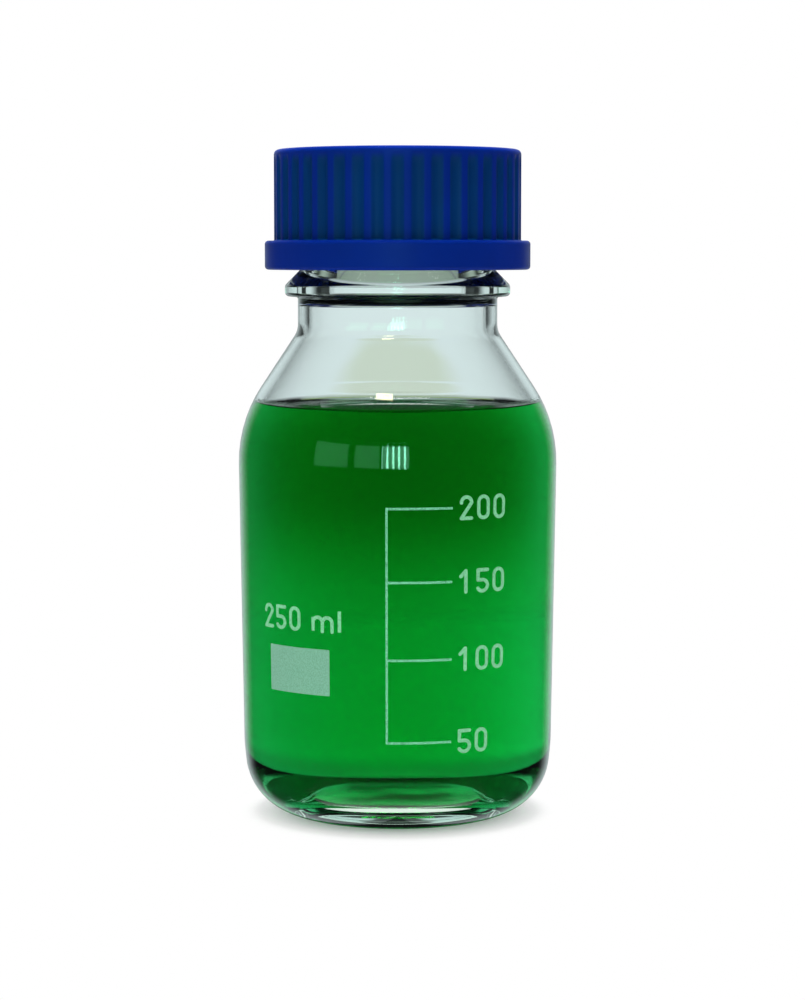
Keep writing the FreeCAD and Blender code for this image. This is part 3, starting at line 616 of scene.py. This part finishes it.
# %% The sealing disc
FLAKES, FLAKE_STRETCH, FLAKE_RANGE, FLAKE_GLOSS = 900.0, (1, 1, 4), (0.2, 0.8), (0.45, 0.65)
FLAKE_STRENGTH, FLAKE_HEIGHT = 0.1, 0.0002
SHEET_DARK, SHEET_LIGHT = (0.72, 0.72, 0.69, 1), (0.86, 0.86, 0.84, 1)
DISC_GAP, DISC_ROUND, DISC_COLUMNS = 0.4, 0.5, 128


def sealing_sheet():
    """Pressed white sheet: flakes vary its colour, its gloss and its surface."""
    material, finish = new_finish("sealing_sheet")
    flakes = finish.noise(FLAKES, FLAKE_STRETCH)
    surface = finish.node("ShaderNodeBsdfPrincipled", None, {
        "Base Color": finish.blend(flakes, SHEET_DARK, SHEET_LIGHT),
        "Roughness": finish.span(flakes, *FLAKE_RANGE, *FLAKE_GLOSS),
        "Normal": finish.bump(flakes, FLAKE_STRENGTH, FLAKE_HEIGHT),
    })
    finish.output(surface)
    return material


def disc_mesh():
    """A flat plate with rounded edges, turned about the axis."""
    radius = CAP_BORE - DISC_GAP
    outline = rounded_outline([
        (0, LINER_LOW, SHARP),
        (radius, LINER_LOW, DISC_ROUND),
        (radius, LINER_HIGH, DISC_ROUND),
        (0, LINER_HIGH, SHARP),
    ])
    return turned_mesh("sealing_disc", *turned_points(*outline, DISC_COLUMNS))


place_piece("sealing_disc", disc_mesh(), "liner", "cap_liner", sealing_sheet())

# %% [markdown]
# Scale, figures and field are white enamel, printed through a screen and fired into the glass. It is
# powder that melted, so it stays grainy: the same fine noise thins its colour, its gloss and its cover.
# Their colours are not white but a dim green-grey: the green light of the solution shining through
# the thin enamel is painted into them.
# Their solids are already curved like the wall, so they are shown as they are, and so is the pouring
# ring, a plain blue ring pushed over the rim.

# %% Fired enamel on the solids
ENAMEL_GRAINS, ENAMEL_RANGE, ENAMEL_GLOSS = 4200.0, (0.32, 0.65), (0.5, 0.7)
ENAMEL_STRENGTH, ENAMEL_HEIGHT = 0.2, 0.00005


def fired_enamel(name, thin_colour, thick_colour, cover):
    """Grainy enamel; cover is how much of the glass it hides where it is thin and where it is thick."""
    material, finish = new_finish(name)
    grain = finish.noise(ENAMEL_GRAINS)
    surface = finish.node("ShaderNodeBsdfPrincipled", None, {
        "Base Color": finish.blend(finish.span(grain, *ENAMEL_RANGE), thin_colour, thick_colour),
        "Roughness": finish.span(grain, *ENAMEL_RANGE, *ENAMEL_GLOSS),
        "Alpha": finish.span(grain, *ENAMEL_RANGE, *cover),
        "Normal": finish.bump(grain, ENAMEL_STRENGTH, ENAMEL_HEIGHT),
    })
    finish.output(surface)
    return material


# Painted light: these enamel colours carry the green of the solution behind, in place of white.
THIN_LINE, THICK_LINE, LINE_COVER = (0.13, 0.45, 0.27, 1), (0.22, 0.58, 0.39, 1), (0.5, 0.95)
THIN_FIGURE, THICK_FIGURE, FIGURE_COVER = (0.17, 0.46, 0.26, 1), (0.25, 0.58, 0.34, 1), (0.8, 1.0)
THIN_FIELD, THICK_FIELD, FIELD_COVER = (0.16, 0.34, 0.25, 1), (0.22, 0.40, 0.32, 1), (0.9, 1.0)
LINE_ENAMEL = fired_enamel("line_enamel", THIN_LINE, THICK_LINE, LINE_COVER)
FIGURE_ENAMEL = fired_enamel("figure_enamel", THIN_FIGURE, THICK_FIGURE, FIGURE_COVER)
FIELD_ENAMEL = fired_enamel("field_enamel", THIN_FIELD, THICK_FIELD, FIELD_COVER)
SHOWN_SOLIDS = {
    "graduation_scale": LINE_ENAMEL,
    "graduation_numerals": FIGURE_ENAMEL,
    "capacity_print": FIGURE_ENAMEL,
    "marking_panel": FIELD_ENAMEL,
    "pouring_ring": RING_BLUE,
}
for node, finish in SHOWN_SOLIDS.items():
    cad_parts[node].data.materials.clear()
    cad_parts[node].data.materials.append(finish)
    print(f"{node} wears {finish.name}")

# %% [markdown]
# Glass has no colour of its own: it shows the room. The bottle stands on a white table in a grey room,
# with a window in front on the left and a warm lamp above it. A picture of a real room could light the
# scene, but a sum of a few soft bands is easier to tune. Directions are told in degrees: azimuth from
# the front towards the right, and height above the horizon.

# %% Directions in the room
HALF_TURN = 180.0
RADIAN = HALF_TURN / math.pi


def sky_angles(room):
    """Sideways share of a ray, then azimuth, height and angle from straight behind, in degrees."""
    ray = room.node("ShaderNodeTexCoord", output="Generated")
    across = room.node("ShaderNodeSeparateXYZ", None, {0: ray}, output="X")
    deep = room.node("ShaderNodeSeparateXYZ", None, {0: ray}, output="Y")
    up = room.node("ShaderNodeSeparateXYZ", None, {0: ray}, output="Z")
    azimuth = room.maths("ARCTAN2", across, -1 * deep) * RADIAN
    height = room.maths("ARCSINE", up) * RADIAN
    return across, azimuth, height, HALF_TURN - room.maths("ABSOLUTE", azimuth)


# %% [markdown]
# Behind the bottle the wall is pale and the far part of the table is bright; in front it is nearly dark,
# so that the glass mirrors only the window. Light that has been mirrored on its way sees a darker room
# with a gap in the middle, which keeps the surface of the liquid dark. A ray through the solution is
# told by how many surfaces it has crossed: only to such a ray is the far table bright. It is brighter on
# the left than on the right, and the solution, being a lens, shows the two sides swapped.

# %% Walls and table
NIGHT, PALE, BRIGHT, NEAR_TABLE, DRY_TABLE, CEILING = 0.03, 0.91, 1.7, 0.4, 0.5, 0.1
DRY_CROSSINGS, WET_CROSSINGS = 4.0, 5.0
ROOM_TINT = (0.84, 1.0, 1.0)
BACK_SIDE = (80.0, 60.0)
WALL_FADES, TABLE_SHINES, TABLE_DIMS = (15.0, 55.0), (-3.5, -8.5), (-12.0, -18.0)
FRONT_TABLE, TABLE_SIDE, SHADED = (-6.0, -12.0), (0.0, 0.5), 1.3
MIRROR_GLOW, MIRROR_SIDE, MIRROR_GAP = 0.75, (45.0, 20.0), (11.0, 7.0)
ARCH_COLOUR = (0.65, 0.77, 0.66, 1)
ARCH_SIDE, ARCH_HEAD, ARCH_FOOT = (3.6, 1.6), (-1.4, -2.0), (-3.0, -2.65)


def wall_glow(room, across, height, behind):
    """Grey light of a direction: each band rises or falls in one smooth step."""
    crossings = room.node("ShaderNodeLightPath", output="Transmission Depth")
    bright = room.span(across, *TABLE_SIDE, BRIGHT, SHADED)
    shine = DRY_TABLE + room.span(crossings, DRY_CROSSINGS, WET_CROSSINGS) * (bright - DRY_TABLE)
    back = room.span(height, *WALL_FADES, PALE, CEILING)
    back = back + room.span(height, *TABLE_SHINES) * (shine - PALE)
    back = back + room.span(height, *TABLE_DIMS) * (NEAR_TABLE - shine)
    front = room.span(height, *FRONT_TABLE, NIGHT, NEAR_TABLE)
    direct = front + room.span(behind, *BACK_SIDE) * (back - front)
    gap = room.span(behind, *MIRROR_GAP)
    mirror = room.span(behind, *MIRROR_SIDE) * MIRROR_GLOW * (1 - gap) + NIGHT
    mirrored = room.span(room.node("ShaderNodeLightPath", output="Glossy Depth"), 0.0, 1.0)
    return direct + mirrored * (mirror - direct)


# %% [markdown]
# The window has two dim panes and a bright one behind a striped blind. Each pane is a product of four
# soft steps, one for each edge, and a sine along the azimuth makes the stripes. The camera itself sees
# plain white, as behind a cut-out picture of a product.

# %% Window, lamp and world
WHITE = (1, 1, 1, 1)
GREENISH, DAYLIGHT, LAMPLIGHT = (0.4, 1.6, 0.8, 1), (8, 24, 17, 1), (20, 18, 11, 1)
SOFT = 0.8
STRIPE_STEP, STRIPE_EDGE, STRIPE_SHADE = 4.2, 0.9, 0.12
FULL_WAVE = 2 * math.pi
WINDOWS = [
    {"sides": (-62, -36), "heights": (1, 18), "light": GREENISH, "blind": False},
    {"sides": (-31, -13), "heights": (1, 18), "light": GREENISH, "blind": False},
    {"sides": (-11, 8), "heights": (1, 18), "light": DAYLIGHT, "blind": True},
    {"sides": (-26, -6), "heights": (57, 61), "light": LAMPLIGHT, "blind": False},
]


def between(room, value, low, high):
    """1 between two edges and 0 outside them, with a soft step at each."""
    return room.span(value, low - SOFT, low + SOFT) * room.span(value, high + SOFT, high - SOFT)


def room_light():
    """The world: grey walls, a faintly darker patch straight behind, then one pane after another."""
    world = bpy.data.worlds.new("room")
    bpy.context.scene.world = world
    room = Finish(world)
    across, azimuth, height, behind = sky_angles(room)
    colour = room.scaled(ROOM_TINT, wall_glow(room, across, height, behind))
    arch = room.span(behind, *ARCH_SIDE) * room.span(height, *ARCH_HEAD) * room.span(height, *ARCH_FOOT)
    colour = room.blend(arch, colour, ARCH_COLOUR)
    wave = room.maths("SINE", azimuth * (FULL_WAVE / STRIPE_STEP))
    stripes = room.span(wave, 0.0, STRIPE_EDGE, STRIPE_SHADE, 1.0)
    for window in WINDOWS:
        pane = between(room, azimuth, *window["sides"]) * between(room, height, *window["heights"])
        if window["blind"]:
            pane = pane * stripes
        colour = room.blend(pane, colour, window["light"])
    seen = room.node("ShaderNodeLightPath", output="Is Camera Ray")
    colour = room.blend(seen, colour, WHITE)
    background = room.node("ShaderNodeBackground", None, {"Color": colour, "Strength": 1.0})
    room.node("ShaderNodeOutputWorld", None, {"Surface": background})
    print(f"room with {len(WINDOWS)} panes, {len(room.tree.nodes)} nodes")


room_light()

# %% [markdown]
# The table is a plain white disc, turned like the bottle. A large plane would do as well, but a disc has
# no corner that the glass could mirror. The camera sees it fade to pure white outside a soft shadow.
# Through the glass, its near part glows and its far part lets the room's bright band show.

# %% The white table
TABLE_RADIUS, TABLE_TOP, TABLE_THICKNESS, TABLE_EDGE = 700.0, -0.02, 1.0, 0.4
TABLE_COLUMNS, TABLE_STEP = 128, 40.0
PAPER_LUMPS, PAPER_RANGE, PAPER_GLOSS = 40.0, (0.3, 0.7), (0.75, 0.85)
PAPER_DARK, PAPER_LIGHT = (0.86, 0.86, 0.86, 1), (0.9, 0.9, 0.9, 1)
SHADOW_FADES, NEAR_FADES = (0.015, 0.038), (0.045, 0.060)
NEAR_COLOUR = (0.93, 1.0, 0.93, 1)


def place_stage(name, mesh, material, hidden_from):
    """Put a mesh on the stage round the bottle, unseen by the given kinds of rays."""
    mesh.materials.append(material)
    piece = bpy.data.objects.new(name, mesh)
    for kind in hidden_from:
        setattr(piece, f"visible_{kind}", False)
    bpy.context.scene.collection.objects.link(piece)
    print(f"{name}: {len(mesh.polygons)} faces, {piece.dimensions.x / MM:.0f} mm wide")


def table_finish():
    """Matt paper with a shadow near the bottle, white further out and half clear to rays through glass."""
    material, finish = new_finish("white_table")
    paper = finish.noise(PAPER_LUMPS)
    matt = finish.node("ShaderNodeBsdfPrincipled", None, {
        "Base Color": finish.blend(paper, PAPER_DARK, PAPER_LIGHT),
        "Roughness": finish.span(paper, *PAPER_RANGE, *PAPER_GLOSS),
    })
    seen = finish.node("ShaderNodeLightPath", output="Is Camera Ray")
    through = finish.node("ShaderNodeLightPath", output="Is Transmission Ray")
    place = finish.node("ShaderNodeTexCoord", output="Object")
    away = finish.node("ShaderNodeVectorMath", {"operation": "LENGTH"}, {0: place}, output="Value")
    white = finish.node("ShaderNodeEmission", None, {"Color": WHITE, "Strength": 1.0})
    near = finish.node("ShaderNodeEmission", None, {"Color": NEAR_COLOUR, "Strength": 1.0})
    clear = finish.node("ShaderNodeBsdfTransparent")
    below = finish.node("ShaderNodeMixShader", None, {0: finish.span(away, *NEAR_FADES), 1: near, 2: clear})
    surface = finish.node("ShaderNodeMixShader", None, {0: through, 1: matt, 2: below})
    far = finish.span(away, *SHADOW_FADES) * seen
    finish.output(finish.node("ShaderNodeMixShader", None, {0: far, 1: surface, 2: white}))
    return material


def table_mesh():
    """A flat round plate with a rounded edge, turned about the axis."""
    outline = rounded_outline([
        (0, TABLE_TOP - TABLE_THICKNESS, SHARP),
        (TABLE_RADIUS, TABLE_TOP - TABLE_THICKNESS, TABLE_EDGE),
        (TABLE_RADIUS, TABLE_TOP, TABLE_EDGE),
        (0, TABLE_TOP, SHARP),
    ], run_step=TABLE_STEP)
    return turned_mesh("table", *turned_points(*outline, TABLE_COLUMNS))


place_stage("table", table_mesh(), table_finish(), ["glossy"])

# %% [markdown]
# A liquid in a round bottle is a strong lens: what shows through it is a narrow strip of the room far
# behind, upside down. So a curved card close behind the bottle lights the solution: bright at its foot,
# dimmer and warmer at its top. Only rays that come through glass see it, and to a ray that met no
# liquid it is plain grey. The middle of its top is dark to rays mirrored by the surface of the liquid.
# Its ends and its foot fade out, so that its edges don't show when the bottle is seen from the side.

# %% The light card
CARD_RADIUS, CARD_HALF_TURN, CARD_COLUMNS = 130.0, 85.0, 65
CARD_LOW, CARD_HIGH, CARD_BACK = 26.0, 76.0, 90.0
DIM_HEIGHT, BRIGHT_HEIGHT = 63.0, 28.0
FOOT_GLOW = (-0.1, 0.5, 1.45, 1.15)
LEFT_GLOW, RIGHT_GLOW = (-0.1, -0.7, 0.6, 1.4), (0.2, 0.8, 0.0, 0.5)
WARM_SIDE = (0.45, 0.1)
COOL_CARD, WARM_CARD = (0.93, 1.0, 0.93, 1), (0.7, 1.0, 0.3, 1)
DRY_CARD = (0.34, 0.44, 0.37, 1)
MIRROR_DIMS, MIRROR_MIDDLE = (32.0, 42.0), (0.7, 0.4)
SIDE_FADES, FOOT_FADES = (0.99, 0.75), (CARD_LOW, 32.0)


def card_finish():
    """Light that changes with the height and the side of the card, and fades out at its edges."""
    material, finish = new_finish("light_card")
    place = finish.node("ShaderNodeTexCoord", output="Object")
    up = finish.node("ShaderNodeSeparateXYZ", None, {0: place}, output="Z") / MM
    aside = finish.node("ShaderNodeSeparateXYZ", None, {0: place}, output="X") / (CARD_RADIUS * MM)
    upper = finish.span(aside, *LEFT_GLOW) + finish.span(aside, *RIGHT_GLOW)
    lower = finish.span(up, DIM_HEIGHT, BRIGHT_HEIGHT)
    glow = upper + lower * (finish.span(aside, *FOOT_GLOW) - upper)
    off_middle = finish.maths("ABSOLUTE", aside)
    warmth = finish.span(off_middle, *WARM_SIDE) * (1 - lower)
    colour = finish.scaled(finish.blend(warmth, COOL_CARD, WARM_CARD), glow)
    crossings = finish.node("ShaderNodeLightPath", output="Transmission Depth")
    wet = finish.span(crossings, DRY_CROSSINGS, WET_CROSSINGS)
    mirrored = finish.span(finish.node("ShaderNodeLightPath", output="Glossy Depth"), 0.0, 1.0)
    dark = mirrored * finish.span(up, *MIRROR_DIMS) * finish.span(off_middle, *MIRROR_MIDDLE)
    colour = finish.scaled(finish.blend(wet, DRY_CARD, colour), 1 - dark)
    light = finish.node("ShaderNodeEmission", None, {"Color": colour, "Strength": 1.0})
    clear = finish.node("ShaderNodeBsdfTransparent")
    cover = finish.span(off_middle, *SIDE_FADES) * finish.span(up, *FOOT_FADES)
    finish.output(finish.node("ShaderNodeMixShader", None, {0: cover, 1: clear, 2: light}))
    return material


def card_mesh():
    """An upright strip of a cylinder: the same arc at two heights, joined by one row of quads."""
    turn = np.radians(np.linspace(CARD_BACK - CARD_HALF_TURN, CARD_BACK + CARD_HALF_TURN, CARD_COLUMNS))
    across, deep = np.cos(turn) * CARD_RADIUS, np.sin(turn) * CARD_RADIUS
    low = np.stack([across, deep, np.full_like(turn, CARD_LOW)], axis=-1)
    points = np.concatenate([low, low + [0, 0, CARD_HIGH - CARD_LOW]]) * MM
    here = np.arange(CARD_COLUMNS - 1)
    faces = np.stack([here, here + 1, here + 1 + CARD_COLUMNS, here + CARD_COLUMNS], axis=-1)
    mesh = bpy.data.meshes.new("light_card")
    mesh.from_pydata(points.tolist(), [], faces.tolist())
    return mesh


place_stage("light_card", card_mesh(), card_finish(), ["camera", "diffuse", "glossy", "shadow"])

# %% [markdown]
# One wide lamp overhead gives the cap its soft modelling and the bottle its shadow. The larger the lamp,
# the softer the shadow; half a metre across at less than a metre is very soft.

# %% Soft overhead light
LAMP_WIDTH, LAMP_POWER, LAMP_PLACE = 0.5, 15.0, (0, 0.05, 0.8)
lamp_data = bpy.data.lights.new("overhead", "AREA")
lamp_data.shape = "DISK"
lamp_data.size = LAMP_WIDTH
lamp_data.energy = LAMP_POWER
lamp = bpy.data.objects.new("overhead", lamp_data)
lamp.location = LAMP_PLACE
lamp.visible_glossy = False
bpy.context.scene.collection.objects.link(lamp)
print(f"overhead lamp: {lamp_data.size:.1f} m wide, {lamp_data.energy:.0f} W")

# %% [markdown]
# The camera stands 0.6 m in front of the axis, a little above the shoulder, and looks slightly down.
# Its place and lens come from the photograph: the curves of the base and of the cap's edges tell how
# high it stood, and the bottle's width tells how long the lens was.

# %% The camera
CAMERA_DISTANCE, CAMERA_HEIGHT = 0.600, 0.12355
LOOK_DOWN, UPRIGHT = 5.2035, 90.0
FOCAL_PIXELS, IMAGE_HEIGHT, SENSOR_HEIGHT = 2734.2, 1000, 24.0
AXIS_OFFSET_PIXELS = 4.9
NEAREST = 0.01
camera_data = bpy.data.cameras.new("camera")
camera_data.sensor_fit = "VERTICAL"
camera_data.sensor_height = SENSOR_HEIGHT
camera_data.lens = SENSOR_HEIGHT * FOCAL_PIXELS / IMAGE_HEIGHT
camera_data.shift_x = AXIS_OFFSET_PIXELS / IMAGE_HEIGHT
camera_data.clip_start = NEAREST
camera = bpy.data.objects.new("camera", camera_data)
camera.location = (0, -CAMERA_DISTANCE, CAMERA_HEIGHT)
camera.rotation_euler = (math.radians(UPRIGHT - LOOK_DOWN), 0, 0)
bpy.context.scene.collection.objects.link(camera)
bpy.context.scene.camera = camera
bpy.context.scene.view_settings.view_transform = "Standard"
print(f"lens {camera_data.lens:.1f} mm, {CAMERA_DISTANCE:.2f} m from the axis")
